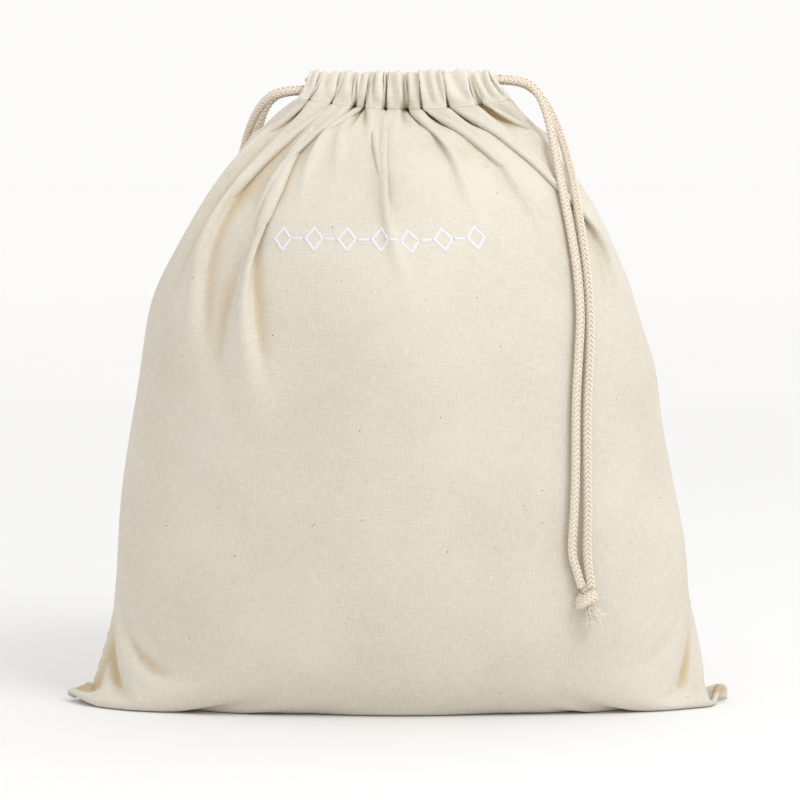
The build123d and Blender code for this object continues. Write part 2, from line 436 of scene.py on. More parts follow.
def smooth_line(route, step=BRAID_STEP):
    """Points along the NURBS spline that has the route's points as its control points."""
    data = bpy.data.curves.new("line", "CURVE")
    data.dimensions = "3D"
    data.resolution_u = 24
    spline = data.splines.new("NURBS")
    spline.points.add(len(route) - 1)
    for point, place in zip(spline.points, route):
        point.co = (*place, 1)
    spline.order_u = 3
    spline.use_endpoint_u = True
    holder = bpy.data.objects.new("line", data)
    bpy.context.collection.objects.link(holder)
    mesh = bpy.data.meshes.new_from_object(holder)
    points = np.array([vertex.co for vertex in mesh.vertices])
    bpy.data.objects.remove(holder)
    bpy.data.meshes.remove(mesh)
    bpy.data.curves.remove(data)
    return evenly(points, step)


def braid(points, size=1.0):
    """Points, quads and flat places of a round braid along a line, and the share of painted shade at each
    point.
    """
    diameter = CORD * size
    along = lengths_along(points)
    _, side, up = frames_along(points)
    turn = 2 * math.pi * along / (BRAID_LAY * size)
    parts, places, shade_amounts = [], [], []
    for way in (1, -1):
        for index in range(BRAID_STRANDS):
            # over two strands, under two, the next strand the other way about
            rise = np.cos(BRAID_STRANDS * turn / 2 - math.pi / 4 + math.pi * index)
            radius = diameter * (STRAND_MIDDLE + way * STRAND_RISE * rise)
            angle = way * turn + 2 * math.pi * index / BRAID_STRANDS
            outward = np.cos(angle)[:, None] * side + np.sin(angle)[:, None] * up
            centre = points + outward * radius[:, None]
            heading = np.gradient(centre, axis=0)
            heading /= np.linalg.norm(heading, axis=1)[:, None]
            across = np.cross(heading, outward)
            around = np.linspace(0, 2 * math.pi, 8, endpoint=False)
            wide = np.cos(around)[None, :, None] * across[:, None] * STRAND_WIDTH * diameter
            tall = np.sin(around)[None, :, None] * outward[:, None] * STRAND_THICK * diameter
            ring = centre[:, None] + wide + tall
            parts.append((ring.reshape(-1, 3), grid_faces(len(points), 8, wrap=True)))
            places.append(paired(along[:, None], around[None, :] * diameter * 0.2).reshape(-1, 2))
            # painted shade: most at each strand's edges, and more where it passes under the others
            shade_amounts.append((np.abs(np.cos(around))[None] ** 1.5 * (0.7 - 0.3 * way * rise[:, None])).ravel())
    mesh_points, quads = join(parts)
    return mesh_points, quads, np.concatenate(places), np.concatenate(shade_amounts)


def braided_piece(name, lines, size=1.0):
    """One piece from the braids along some lines."""
    braids = [braid(line, size) for line in lines]
    mesh_points, quads = join([found[:2] for found in braids])
    places = np.concatenate([found[2] for found in braids])
    piece = new_object(name, mesh_points, quads, CORD_YARN, places)
    mark_painted_shade(piece, np.concatenate([found[3] for found in braids]))
    return piece


def hanging_cord(side, layer):
    """One hanging end of a drawcord."""
    route = np.array(ROUTES[side, layer]) * MM
    points = smooth_line(route)
    piece = braided_piece(f"{side}_{layer}_hanging_braid", [points])
    finish_piece(piece, f"{side}_cord_end", "cord", f"{side}_{layer}_hanging_cord")


def draw_length(side, layer):
    """The straight stretch of cord that comes out of its casing when the cord is pulled."""
    low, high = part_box(f"{side}_{layer}_draw_length")
    middle = (low + high) / 2
    out = OUT[side]
    ends = np.array([[low.x, middle.y, middle.z], [high.x, middle.y, middle.z]])[::out]
    piece = braided_piece(f"{side}_{layer}_draw_braid", [evenly(ends, BRAID_STEP)])
    finish_piece(piece, f"{side}_cord_end", "cord", f"{side}_{layer}_draw_length")


LOOP_BULGE = 0.6  # the turn at the far end is flatter than half a circle
LOOP_TUCK = 0.006  # and is drawn up against the casings' ends


def cord_loop(side):
    """The fixed part of a drawcord: through both casings and round the far side of the mouth."""
    low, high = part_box(f"{side}_cord_loop")
    out = OUT[side]
    far = (low.x if side == "right" else high.x) + out * (CORD / 2 + LOOP_TUCK)
    start = high.x if side == "right" else low.x
    level = (low.z + high.z) / 2
    bend = far + out * CORD_Y * LOOP_BULGE
    points = [(start, -CORD_Y, level), (bend, -CORD_Y, level)]
    for step in range(1, 24):
        angle = math.pi * step / 24
        reach = out * CORD_Y * LOOP_BULGE * math.sin(angle)
        points.append((bend - reach, -CORD_Y * math.cos(angle), level))
    points += [(bend, CORD_Y, level), (start, CORD_Y, level)]
    piece = braided_piece(f"{side}_loop_braid", [evenly(np.array(points), BRAID_STEP)])
    finish_piece(piece, "bag", "cord", f"{side}_cord_loop")


# one strand's way through the overhand knot, from above, in millimetres from its middle
KNOT_PATH = [
    (-2.9, 0.4, 10.5), (-2.1, 0.8, 7.0), (-0.6, 2.2, 1.6), (2.6, 1.6, -4.0), (5.2, -0.6, -1.5),
    (4.6, -3.6, 3.0), (0.6, -4.9, 0.8), (-4.2, -2.9, -3.0), (-5.0, 1.4, -3.0), (-2.2, 4.0, 0.2),
    (1.8, 3.4, 0.6), (2.6, 0.4, -4.4), (2.3, -0.4, -8.0),
]
KNOT_DROP = (0, 0, 0.2, -0.6, -1.8, -3.2, -3.6, -3.0, -1.4, 1.6, 1.6, 0, 0)
KNOT_SIZE = 0.82  # how much the tight strands are pressed together


def knot(side):
    """An overhand knot tied in both cord ends together."""
    low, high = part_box(f"{side}_knot")
    middle = np.array((low + high) / 2)
    out = OUT[side]
    lines = []
    for strand in (0, 1):
        path = []
        for (x, y, z), drop in zip(KNOT_PATH, KNOT_DROP):
            mirrored = -x if strand and z > 4.5 else x
            path.append((out * mirrored, out * (y - 0.5 * strand), z + strand * drop))
        lines.append(smooth_line(np.array(path) * MM + middle, 0.0005))
    piece = braided_piece(f"{side}_tied_knot", lines, KNOT_SIZE)
    return finish_piece(piece, f"{side}_cord_end", "cord", f"{side}_knot")


TUFT_FIBRES = 70
TUFT_LENGTH = 0.0115
FIBRE_RADIUS = 0.00021


def frayed_ends(side):
    """The two cut ends under the knot, each a brush of loose fibres."""
    rng = np.random.default_rng(7 if side == "right" else 8)
    low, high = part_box(f"{side}_knot")
    out = OUT[side]
    foot = np.array(((low.x + high.x) / 2 + out * 0.001, (low.y + high.y) / 2, low.z + 0.0022))
    parts = []
    for lean, shift in ((math.radians(34), 0.0012), (math.radians(10), 0.0026)):
        down = np.array((out * math.sin(lean), 0, -math.cos(lean)))
        across = np.array((out * math.cos(lean), 0, math.sin(lean)))
        for _ in range(TUFT_FIBRES):
            spread = rng.normal(0, 1, 2)
            length = TUFT_LENGTH * rng.uniform(0.72, 1.08)
            root = foot + across * (shift + spread[0] * 0.0009) + np.array((0, spread[1] * 0.0009, 0))
            splay = across * spread[0] * 0.17 + np.array((0, spread[1] * 0.18, 0))
            curl = rng.normal(0, 0.0009, 3)
            t = np.linspace(0, 1, 7)[:, None]
            points = root + down * length * t + splay * length * t ** 1.6 + curl * np.sin(t * math.pi * 1.5)
            parts.append(tube(points, FIBRE_RADIUS, corners=4, taper=True))
    mesh_points, quads = join(parts)
    flat = mesh_points[:, [0, 2]]
    piece = new_object(f"{side}_frayed_fibres", mesh_points, quads, BRIGHTENED_FRAYED_YARN, flat)
    return finish_piece(piece, f"{side}_cord_end", "cord", f"{side}_frayed_ends")


def all_cords():
    add_left_routes()
    for side in ("right", "left"):
        ends = [knot(side), frayed_ends(side)]
        for layer in ("front", "back"):
            hanging_cord(side, layer)
            draw_length(side, layer)
        cord_loop(side)


# ---- the panels as simulated cloth ----
PANEL_WIDTH = 0.432
PANEL_HEIGHT = 0.462  # from the bottom seam up to the casing's stitches
CLOTH_THICK = 0.0008
SLOT = 0.028  # unsewn length at the top of each side, where the cords come out
CLEAR_OF_FLOOR = 0.0006
BACK_SHIFT = 0.7  # moves the texture of the back's cloth away from the front's
CORNER_REACH = 0.2105  # how far the flat bottom corners stick out to each side
SEAM_DRAW = 0.118  # how much shorter the side edges are made, so that the corners don't ruffle
SEAM_REACH = 0.40  # and how far in that goes, as a share of half the width
COARSE = (96, 102)  # columns and rows
COARSE_STEPS, FINE_STEPS = 1200, 170
STEP_TIME = 1 / 600
PRESSURE = 0.2  # pushes the cloth outwards, in metres per second squared
GRAVITY = 0.7
SHEAR_SHARE, BEND_SHARE = 0.15, 0.15
TOP_SPEED = 1.5

# What fills the bag: height, left, right and front half size, and the exponent of its outline.
FILLING = np.array([
    (0.000, 0.150, 0.156, 0.0500, 2.00), (0.010, 0.172, 0.174, 0.0620, 2.00),
    (0.022, 0.181, 0.180, 0.0700, 2.00), (0.045, 0.184, 0.183, 0.0790, 2.00),
    (0.075, 0.184, 0.184, 0.0860, 2.00), (0.106, 0.1825, 0.1815, 0.0905, 2.00),
    (0.137, 0.180, 0.1755, 0.0950, 2.00), (0.168, 0.1755, 0.169, 0.0995, 2.00),
    (0.199, 0.170, 0.162, 0.1035, 2.00), (0.231, 0.164, 0.155, 0.1070, 2.00),
    (0.262, 0.155, 0.1465, 0.1085, 2.00), (0.292, 0.1435, 0.136, 0.1050, 2.00),
    (0.312, 0.133, 0.127, 0.0985, 1.95), (0.330, 0.121, 0.1165, 0.0875, 1.85),
    (0.345, 0.110, 0.106, 0.0755, 1.80), (0.358, 0.099, 0.095, 0.0610, 1.75),
    (0.370, 0.086, 0.084, 0.0420, 1.70), (0.379, 0.0, 0.0, 0.0, 1.60),
])

# Soft lumps of the filling: x, front or back, height, radius and rise.
LUMPS = [
    (-0.088, 0, 0.205, 0.040, 0.006), (-0.03, 0, 0.285, 0.060, 0.006),
    (-0.16, 0, 0.262, 0.030, 0.004), (0.155, 0, 0.215, 0.028, 0.004),
    (0.160, 0, 0.275, 0.018, 0.003), (-0.06, 0, 0.12, 0.06, 0.004),
    (0.09, 0, 0.08, 0.05, 0.003), (0.0, 0, 0.25, 0.05, 0.003),
    (0.10, 1, 0.2, 0.05, 0.004), (-0.08, 1, 0.12, 0.05, 0.004), (0.0, 1, 0.3, 0.04, 0.003),
]

# The gathered hem of each panel seen from above, as x and depth of each pleat, in millimetres.
HEM_OUTLINES = (
    [(-64, 5), (-66, 14), (-60, 16), (-58, 2), (-57, 0), (-58, 13), (-46, 15), (-44.5, 1), (-43.5, 0),
     (-44, 14), (-33, 15), (-30, -4), (-29, -4), (-28.5, 9), (-25, 10), (-23.5, -3), (-22.5, -3),
     (-23, 13), (-14, 16), (-10.5, 0), (-9.5, 0), (-9, 11), (-2, 12), (2.5, -3), (4, -3), (5, 11),
     (11, 12), (12.5, 3), (13.5, 3), (13.5, 15), (27.5, 16), (29, 0), (30, 0), (31, 13), (45.5, 15),
     (48.5, 4), (51, 3), (52, 13), (63, 12), (67, 7), (69, 5)],
    [(-68, 5), (-66, 10), (-58, 13), (-56, 1), (-53, 0), (-53, 13), (-42, 15), (-41, 1), (-39, 0),
     (-40, 12), (-32, 14), (-31, 0), (-28, -2), (-29, 13), (-18, 15), (-16, 0), (-14, 0), (-14, 11),
     (-8, 12), (-7, -1), (-4, -1), (-5, 14), (6, 15), (7, 0), (10, -1), (9, 12), (15, 13), (17, 0),
     (19, 0), (18, 15), (31, 15), (33, 0), (35, -2), (35, 11), (42, 12), (43, 0), (46, 0), (45, 14),
     (57, 15), (60, 6), (66, 5)],
)
HEM_DIP, HEM_DIP_X, HEM_DIP_HALF = 0.0056, 0.004, 0.060  # the stitches hang lowest near the middle
CORNER_SHARE = 0.28  # how much of each side of a pleat its rounded corners take
MOUTH_HALF = 0.0150  # from the middle of the mouth to the valleys of the pleats
PLEAT_DEPTH = 0.66  # share of the outline's depth at the stitches


def soft_corners(points, samples=10):
    """A smooth line that rounds each corner of a row of points, along their first axis."""
    points = np.asarray(points, float)
    middle = (points[1:] + points[:-1]) / 2
    t = np.linspace(0, 1, samples, endpoint=False).reshape((-1,) + (1,) * (points.ndim - 1))
    pieces = [points[:1]]
    for index in range(1, len(points) - 1):
        arc = (1 - t) ** 2 * middle[index - 1] + 2 * t * (1 - t) * points[index]
        pieces.append(arc + t * t * middle[index])
    pieces.append(points[-1:])
    return np.concatenate(pieces)


def crisp(points, share):
    """The same corners with a point close before and after each, so that rounding stays small."""
    steps = np.diff(points, axis=0)
    near = points[:-1] + steps * share
    far = points[1:] - steps * share
    between_corners = np.stack([points[:-1], near, far], 1).reshape(-1, points.shape[1])
    return np.concatenate([between_corners, points[-1:]])


def hem_line(side, columns):
    """x and pleat depth at each column: the outline deepened until it takes up the panel's width."""
    outline = crisp(np.array(HEM_OUTLINES[side]) * MM, CORNER_SHARE)
    low, high = 0.2, 4.0
    for _ in range(40):
        deeper = (low + high) / 2
        line = soft_corners(outline * (1, deeper))
        along = lengths_along(line)
        if along[-1] < PANEL_WIDTH * 0.99:
            low = deeper
        else:
            high = deeper
    marks = np.linspace(0, along[-1], columns + 1)
    return np.interp(marks, along, line[:, 0]), np.interp(marks, along, line[:, 1])


def hem_height(x):
    return NECK_Z - 0.001 + HEM_DIP * np.minimum(1.2, ((x - HEM_DIP_X) / HEM_DIP_HALF) ** 2)


def hem_points(columns):
    """Where the top row of each panel is held: [side, column, xyz]."""
    points = np.zeros((2, columns + 1, 3))
    for side, out in ((0, -1), (1, 1)):
        x, depth = hem_line(side, columns)
        points[side, :, 0] = x
        points[side, :, 1] = out * (MOUTH_HALF + depth * PLEAT_DEPTH)
        points[side, :, 2] = hem_height(x)
    return points


def hermite(z, heights, values):
    """A smooth line through the values, with limited slopes."""
    index = np.clip(np.searchsorted(heights, z) - 1, 0, len(heights) - 2)
    span = heights[index + 1] - heights[index]
    t = np.clip((z - heights[index]) / span, 0, 1)
    slope = np.clip(np.gradient(values, heights), -4, 4)
    start, end = values[index], values[index + 1]
    value = (2 * t ** 3 - 3 * t ** 2 + 1) * start + (t ** 3 - 2 * t ** 2 + t) * span * slope[index]
    return value + (3 * t ** 2 - 2 * t ** 3) * end + (t ** 3 - t ** 2) * span * slope[index + 1]


FILLING_STEPS = np.linspace(0, 0.38, 381)
FILLING_SIZES = [
    np.maximum(hermite(FILLING_STEPS, FILLING[:, 0], FILLING[:, column]), 0).astype(FLOAT)
    for column in (1, 2, 3, 4)
]


def filling_at(x, z):
    """Half width, half depth and exponent of the filling at each point."""
    place = np.clip(z * FLOAT(1000), 0, 379.999)
    index = place.astype(np.int32)
    share = place - index
    sizes = [size[index] * (1 - share) + size[index + 1] * share for size in FILLING_SIZES]
    left, right, depth, power = sizes
    return np.where(x < 0, left, right), depth, power


def first_guess(columns, rows):
    """The panels wrapped round the filling, with the pleats fading in towards the top."""
    heights = FILLING[:-1, 0]
    width = (FILLING[:-1, 1] + FILLING[:-1, 2]) / 2
    depth = FILLING[:-1, 3]
    fine = np.linspace(0, NECK_Z, 400)
    profile = np.interp(fine, heights, depth)
    profile = np.where(fine > 0.37, np.interp(fine, (0.37, NECK_Z), (0.034, 0.024)), profile)
    climb = lengths_along(np.stack([fine, profile, 0 * fine], 1))
    path = np.concatenate([[0], profile[0] + climb])
    steps = np.linspace(0, 1, rows + 1) * path[-1]
    level = np.interp(steps, path, np.concatenate([[0], fine]))
    spread = np.clip(steps / profile[0], 0, 1)
    across = np.linspace(-1, 1, columns + 1)
    hem = hem_points(columns)
    points = np.zeros((2, rows + 1, columns + 1, 3))
    for side, out in ((0, -1), (1, 1)):
        for row in range(rows + 1):
            z = level[row]
            angle = across * math.pi / 2 * 0.98
            x = np.interp(z, heights, width) * np.sin(angle)
            x = x * spread[row] + across * (CORNER_REACH + 0.0015) * (1 - spread[row])
            y = out * np.interp(z, fine, profile) * np.cos(angle) * spread[row]
            fade = np.clip((z - 0.28) / (NECK_Z - 0.28), 0, 1) ** 1.2
            points[side, row, :, 0] = x * (1 - fade) + hem[side, :, 0] * fade
            points[side, row, :, 1] = y * (1 - fade) + hem[side, :, 1] * fade
            points[side, row, :, 2] = z * (1 - fade) + z / NECK_Z * hem[side, :, 2] * fade
    return points


def pull(first, second, length, share, only_push=False):
    """Moves two sets of points towards their right distance; only_push leaves those that are too far."""
    apart = second - first
    now = np.sqrt(np.einsum("...i,...i->...", apart, apart))[..., None] + FLOAT(1e-9)
    error = now - length
    if only_push:
        error = np.minimum(error, 0)
    apart *= FLOAT(0.5 * share) * error / now
    first += apart
    second -= apart


def outward(points):
    """Unit normals that point out of the bag."""
    along, up = np.zeros_like(points), np.zeros_like(points)
    along[:, :, 1:-1] = points[:, :, 2:] - points[:, :, :-2]
    up[:, 1:-1] = points[:, 2:] - points[:, :-2]
    normal = np.cross(along, up)
    normal[1] *= -1
    return normal / (np.linalg.norm(normal, axis=-1, keepdims=True) + FLOAT(1e-9))


def keep_cloth(points, width, height):
    """One pass over the cloth's own springs: threads, diagonals, and stiffness over two cells."""
    diagonal = np.hypot(width, (height[1:] + height[:-1]) / 2)
    for start in (0, 1):
        pull(points[:, :, start:-1:2], points[:, :, start + 1::2], width, 1.0)
        pull(points[:, start:-1:2], points[:, start + 1::2], height, 1.0)
    for row in (0, 1):
        for column in (0, 1):
            near = points[:, row:-1:2, column:-1:2], points[:, row + 1::2, column + 1::2]
            far = points[:, row:-1:2, column + 1::2], points[:, row + 1::2, column:-1:2]
            pull(*near, diagonal[column::2], SHEAR_SHARE)
            pull(*far, diagonal[column::2], SHEAR_SHARE)
    for start in range(4):
        pull(points[:, :, start:-2:4], points[:, :, start + 2::4], 2 * width, BEND_SHARE, True)
        pull(points[:, start:-2:4], points[:, start + 2::4], 2 * height, BEND_SHARE, True)


def sew(points, slot_row):
    """Joins the panels along both sides, up to the slots, and along the bottom."""
    for edge in (0, -1):
        middle = (points[0, :slot_row, edge] + points[1, :slot_row, edge]) / 2
        points[0, :slot_row, edge] = middle
        points[1, :slot_row, edge] = middle
        points[:, :slot_row, edge, 1] *= FLOAT(0.98)
    middle = (points[0, 0] + points[1, 0]) / 2
    points[0, 0] = middle
    points[1, 0] = middle


def keep_out(points):
    """Moves points that are inside the filling towards its surface, or to the floor under it."""
    x, y, z = points[..., 0], points[..., 1], points[..., 2]
    wide, deep, power = filling_at(x, z)
    rise = np.zeros_like(x)
    for lump_x, side, lump_z, radius, height in LUMPS:
        distance = (x[side] - FLOAT(lump_x)) ** 2 + (z[side] - FLOAT(lump_z)) ** 2
        rise[side] += FLOAT(height) * np.exp(-distance / FLOAT(radius * radius))
    filled = (wide > 0.002) & (deep > 0.002)
    wide = np.where(filled, wide + rise, 1)
    deep = np.where(filled, deep + rise, 1)
    reach = ((np.abs(x) / wide) ** power + (np.abs(y) / deep) ** power) ** (1 / power)
    inside = filled & (reach < 1) & (reach > 1e-3)
    under = inside & (z < (1 - reach) * np.minimum(wide, deep))
    points[..., 2] = np.where(under, z * FLOAT(0.5), z)
    out = np.where(inside & ~under, 1 + (1 / np.maximum(reach, 0.2) - 1) * 0.5, 1).astype(FLOAT)
    points[..., 0] *= out
    points[..., 1] *= out


def keep_on_floor(points, before):
    low = points[..., 2] < CLEAR_OF_FLOOR
    points[..., 2] = np.where(low, FLOAT(CLEAR_OF_FLOOR), points[..., 2])
    dragged = before[..., :2] + (points[..., :2] - before[..., :2]) * FLOAT(0.6)
    points[..., :2] = np.where(low[..., None], dragged, points[..., :2])
    points[0, ..., 1] = np.minimum(points[0, ..., 1], 0)
    points[1, ..., 1] = np.maximum(points[1, ..., 1], 0)


def slot_start(rows):
    """The row of a panel at which the unsewn slots begin."""
    return rows - round(SLOT / (PANEL_HEIGHT / rows))


def drawn_up(columns):
    """Each column's share of its flat length, less towards the sides, where cloth would ruffle."""
    from_edge = 1 - np.abs(np.linspace(-1, 1, columns + 1))
    return (1 - SEAM_DRAW * np.clip(1 - from_edge / SEAM_REACH, 0, 1) ** 2)[:, None]


def settle(points, steps, damping):
    """Lets the sewn panels come to rest round the filling, held at the gathered hem."""
    points = points.astype(FLOAT)
    rows, columns = points.shape[1] - 1, points.shape[2] - 1
    width = FLOAT(PANEL_WIDTH / columns)
    height = (PANEL_HEIGHT / rows * drawn_up(columns)).astype(FLOAT)
    slot_row = slot_start(rows)
    hem = hem_points(columns).astype(FLOAT)
    speed = np.zeros_like(points)
    for step in range(steps):
        speed *= FLOAT(damping if step < 0.85 * steps else damping * 0.96)
        speed[..., 2] -= FLOAT(GRAVITY * STEP_TIME)
        push = PRESSURE * np.clip((0.36 - points[..., 2:3]) / 0.08, 0, 1)
        push = push * np.clip((0.200 - np.abs(points[..., 0:1])) / 0.02, 0, 1)
        speed += outward(points) * (push * STEP_TIME).astype(FLOAT)
        before = points.copy()
        points += speed * FLOAT(STEP_TIME)
        keep_cloth(points, width, height)
        sew(points, slot_row)
        keep_out(points)
        keep_on_floor(points, before)
        points[:, rows] = hem
        points[:, 0, 0] = (-CORNER_REACH, 0.004, 0.003)
        points[:, 0, -1] = (CORNER_REACH, 0, 0.0015)
        speed = (points - before) / FLOAT(STEP_TIME)
        fastest = np.linalg.norm(speed, axis=-1, keepdims=True)
        speed *= np.minimum(1, FLOAT(TOP_SPEED) / np.maximum(fastest, 1e-9))
    return points.astype(float)


def between(points, axis):
    """Twice as many cells along one axis, on a smooth line through the points."""
    points = np.moveaxis(points, axis, 0)
    finer = np.zeros((2 * len(points) - 1,) + points.shape[1:])
    finer[::2] = points
    middle = (points[1:] + points[:-1]) / 2
    middle[1:-1] = (9 * (points[1:-2] + points[2:-1]) - (points[:-3] + points[3:])) / 16
    finer[1::2] = middle
    return np.moveaxis(finer, 0, axis)


def simulated_panels():
    """Both panels at rest: [side, row, column, xyz]."""
    columns, rows = COARSE
    points = first_guess(columns, rows)
    points[:, :rows] += np.random.default_rng(5).normal(0, 0.0003, points[:, :rows].shape)
    points = settle(points, COARSE_STEPS, 0.99)
    points = between(between(points, 1), 2)
    return settle(points, FINE_STEPS, 0.97)


def fold_shade_amounts(points, blur=36, full=0.0022):
    """How much painted shade each point of a layer gets, from 0 to 1: how deep in a fold it lies, its
    distance under the smoothed cloth.
    """
    smooth = points.copy()
    for _ in range(blur):
        smooth[:, 1:-1] = (smooth[:, 2:] + smooth[:, :-2]) / 2
        smooth[1:-1] = (smooth[2:] + smooth[:-2]) / 2
    normal = outward(np.stack([smooth, smooth]))[0]
    if points[..., 1].mean() > 0:
        normal = -normal
    return np.clip(((smooth - points) * normal).sum(-1) / full, 0, 1)


def pleat_shade_amounts(points, blur=60, full=0.0030):
    """The same for a casing, whose folds all run up and down."""
    reach = np.abs(points[..., 1])
    smooth = reach.copy()
    for _ in range(blur):
        smooth[:, 1:-1] = (smooth[:, 2:] + smooth[:, :-2]) / 2
    return np.clip((smooth - reach) / full, 0, 1)


def mark_painted_shade(piece, shade_amounts):
    # the fold attribute holds the share of painted shade at each point
    folds = piece.data.attributes.new("fold", "FLOAT", "POINT")
    folds.data.foreach_set("value", np.asarray(shade_amounts, FLOAT).ravel())


def ironed(points, passes=4, share=0.35):
    """The panels with the sharpest kinks of their cells smoothed out; edges stay where they are."""
    for _ in range(passes):
        inside = points[:, 1:-1, 1:-1]
        around = points[:, 2:, 1:-1] + points[:, :-2, 1:-1] + points[:, 1:-1, 2:] + points[:, 1:-1, :-2]
        points[:, 1:-1, 1:-1] = inside + (around / 4 - inside) * share
    return points


def flat_places(rows, columns, start, length):
    """Each grid point's place in the flat panel, in metres."""
    across, along = np.meshgrid(np.linspace(0, PANEL_WIDTH, columns), start + np.linspace(0, length, rows))
    return np.stack([across, along], -1)


def cloth_piece(layer, part, points, shade_amounts, start, height, material):
    """A panel or casing: its cloth, on the bag, with its places in the flat cloth."""
    name = f"{layer}_{part}"
    flat = flat_places(*points.shape[:2], start, height) + (BACK_SHIFT if layer == "back" else 0.0)
    piece = grid_object(f"{name}_cloth", points, material, flat, flip=layer == "back")
    mark_painted_shade(piece, shade_amounts)
    thicken(piece, CLOTH_THICK)
    finish_piece(piece, "bag", "fabric", name)


def panel_piece(layer, points):
    shade_amounts = fold_shade_amounts(points)
    cloth_piece(layer, "panel", points, shade_amounts, 0.0, PANEL_HEIGHT, CANVAS)


# ---- the gathered casings ----
CASING_CLOTH = 0.046  # flat height of a casing, up one side and down the other
CHANNEL = 0.0037  # room for a cord on each side of its middle
CREST_DEPTH = 0.0066  # the pleats' depth where the cloth passes over the cords
INNER_DEPTH = 0.0115  # and on the casing's inner side, towards the middle of the mouth
RUMPLE = 0.0032  # small folds all along a casing, which take up its cloth
RUMPLE_PITCH = 0.0098
LEAN = 0.14  # how much narrower the top edge is than the stitches


def wander(columns, seed, size, waves):
    """A smooth uneven line from pleat to pleat."""
    rng = np.random.default_rng(seed)
    across = np.linspace(0, 1, columns + 1)
    line = np.zeros(columns + 1)
    for wave in range(1, waves + 1):
        line += rng.normal() * np.sin(2 * math.pi * wave * across + rng.uniform(0, 6.28)) / math.sqrt(waves)
    return line * size


def casing_points(side, columns):
    """A casing from its stitches up the outside, over the cords and down the inside."""
    x, depth = hem_line(side, columns)
    hem = hem_points(columns)[side]
    hem_y = np.abs(hem[:, 1])
    pleat = np.clip(depth / depth.max(), -0.1, 1)
    full = np.clip(pleat, 0, 1)
    flat = np.linspace(0, PANEL_WIDTH, columns + 1)
    phase = 2 * math.pi * flat / RUMPLE_PITCH + wander(columns, 41 + side, 2.6, 14)
    size = RUMPLE * (1 + wander(columns, 51 + side, 0.35, 20))
    rumple = size * (0.5 + 0.5 * np.cos(phase))
    rumple_up = size * (0.5 + 0.5 * np.cos(phase + 1.1))
    outer = CORD_Y + CHANNEL + CREST_DEPTH * 0.60 * full
    upper = CORD_Y + CHANNEL + CREST_DEPTH * 0.15 * full
    inner = CORD_Y - CHANNEL - INNER_DEPTH * full
    top = CASING_TOP - 0.0020 + 0.0022 * (pleat - 0.6) + wander(columns, 31 + side, 0.0008, 22)
    top += 0.45 * rumple_up
    if side:
        top += 0.0016 * np.clip((x - 0.036) / 0.02, 0, 1)
    low_lean = x * (1 - LEAN * 0.45) + wander(columns, 11 + side, 0.0010, 26)
    high_lean = x * (1 - LEAN) + wander(columns, 21 + side, 0.0014, 34)
    height = top - hem[:, 2]
    out = -1 if side == 0 else 1
    rows = [
        (x, hem_y, hem[:, 2]),
        (x * (1 - LEAN * 0.10), hem_y * 0.35 + outer * 0.65, hem[:, 2] + 0.10 * height),
        (low_lean, outer + rumple, hem[:, 2] + 0.36 * height),
        (low_lean * 0.4 + high_lean * 0.6, upper + rumple_up, top - 0.0050),
        (high_lean, CORD_Y + 0.60 * (upper - CORD_Y) + 0.6 * rumple_up, top + 0.0009),
        (high_lean, CORD_Y - 0.5 * (CORD_Y - inner), top + 0.0006),
        (high_lean, inner, top - 0.0045),
        (low_lean, inner, hem[:, 2] + 0.08 * height),
        (x, hem_y, hem[:, 2] + 0.0004),
    ]
    grid = np.stack([np.stack([rx, out * ry, rz], -1) for rx, ry, rz in rows])
    return soft_corners(grid, 5)


def casing_piece(layer, columns):
    points = casing_points(0 if layer == "front" else 1, 2 * columns)
    cloth_piece(
        layer, "casing", points, pleat_shade_amounts(points), PANEL_HEIGHT, CASING_CLOTH, BRIGHTENED_CASING_CANVAS,
    )
    return points


# ---- seams, stitches and embroidery ----
STITCH_PITCH = 0.0032
STITCH_LENGTH = 0.0024
THREAD_RADIUS = 0.00026
STITCH_LIFT = CLOTH_THICK / 2 + THREAD_RADIUS * 0.3


def stitches_along(line, lift):
    """Short threads along a line on the cloth, each raised by lift times its direction."""
    along = lengths_along(line)
    parts = []
    for start in np.arange(STITCH_PITCH / 2, along[-1] - STITCH_LENGTH, STITCH_PITCH):
        marks = np.linspace(start, start + STITCH_LENGTH, 5)
        raised = points_at(marks, along, line) + points_at(marks, along, lift)
        parts.append(tube(raised, THREAD_RADIUS, corners=6, taper=True))
    return join(parts)


def thread_piece(name, parts, *nodes):
    points, quads = parts
    piece = new_object(name, points, quads, SEWING_THREAD, points[:, [0, 2]])
    return finish_piece(piece, "bag", "thread", *nodes)


def casing_stitches(layer, casing):
    """The row of stitches through both layers just above the hem line."""
    row = 3
    line = casing[row]
    across = np.gradient(casing[row], axis=0)
    up = casing[row + 1] - casing[row - 1]
    normal = np.cross(across, up)
    normal /= np.linalg.norm(normal, axis=1)[:, None] + 1e-9
    if layer == "back":
        normal = -normal
    stitches = stitches_along(line, normal * STITCH_LIFT)
    thread_piece(f"{layer}_casing_stitches", stitches, f"{layer}_casing_stitching")


SEAM_ALLOWANCE = 0.008
SEAM_START = 0.050  # the side strips start this far up, clear of the corners
BOTTOM_SEAM_START = 0.055  # and the bottom strip this far in


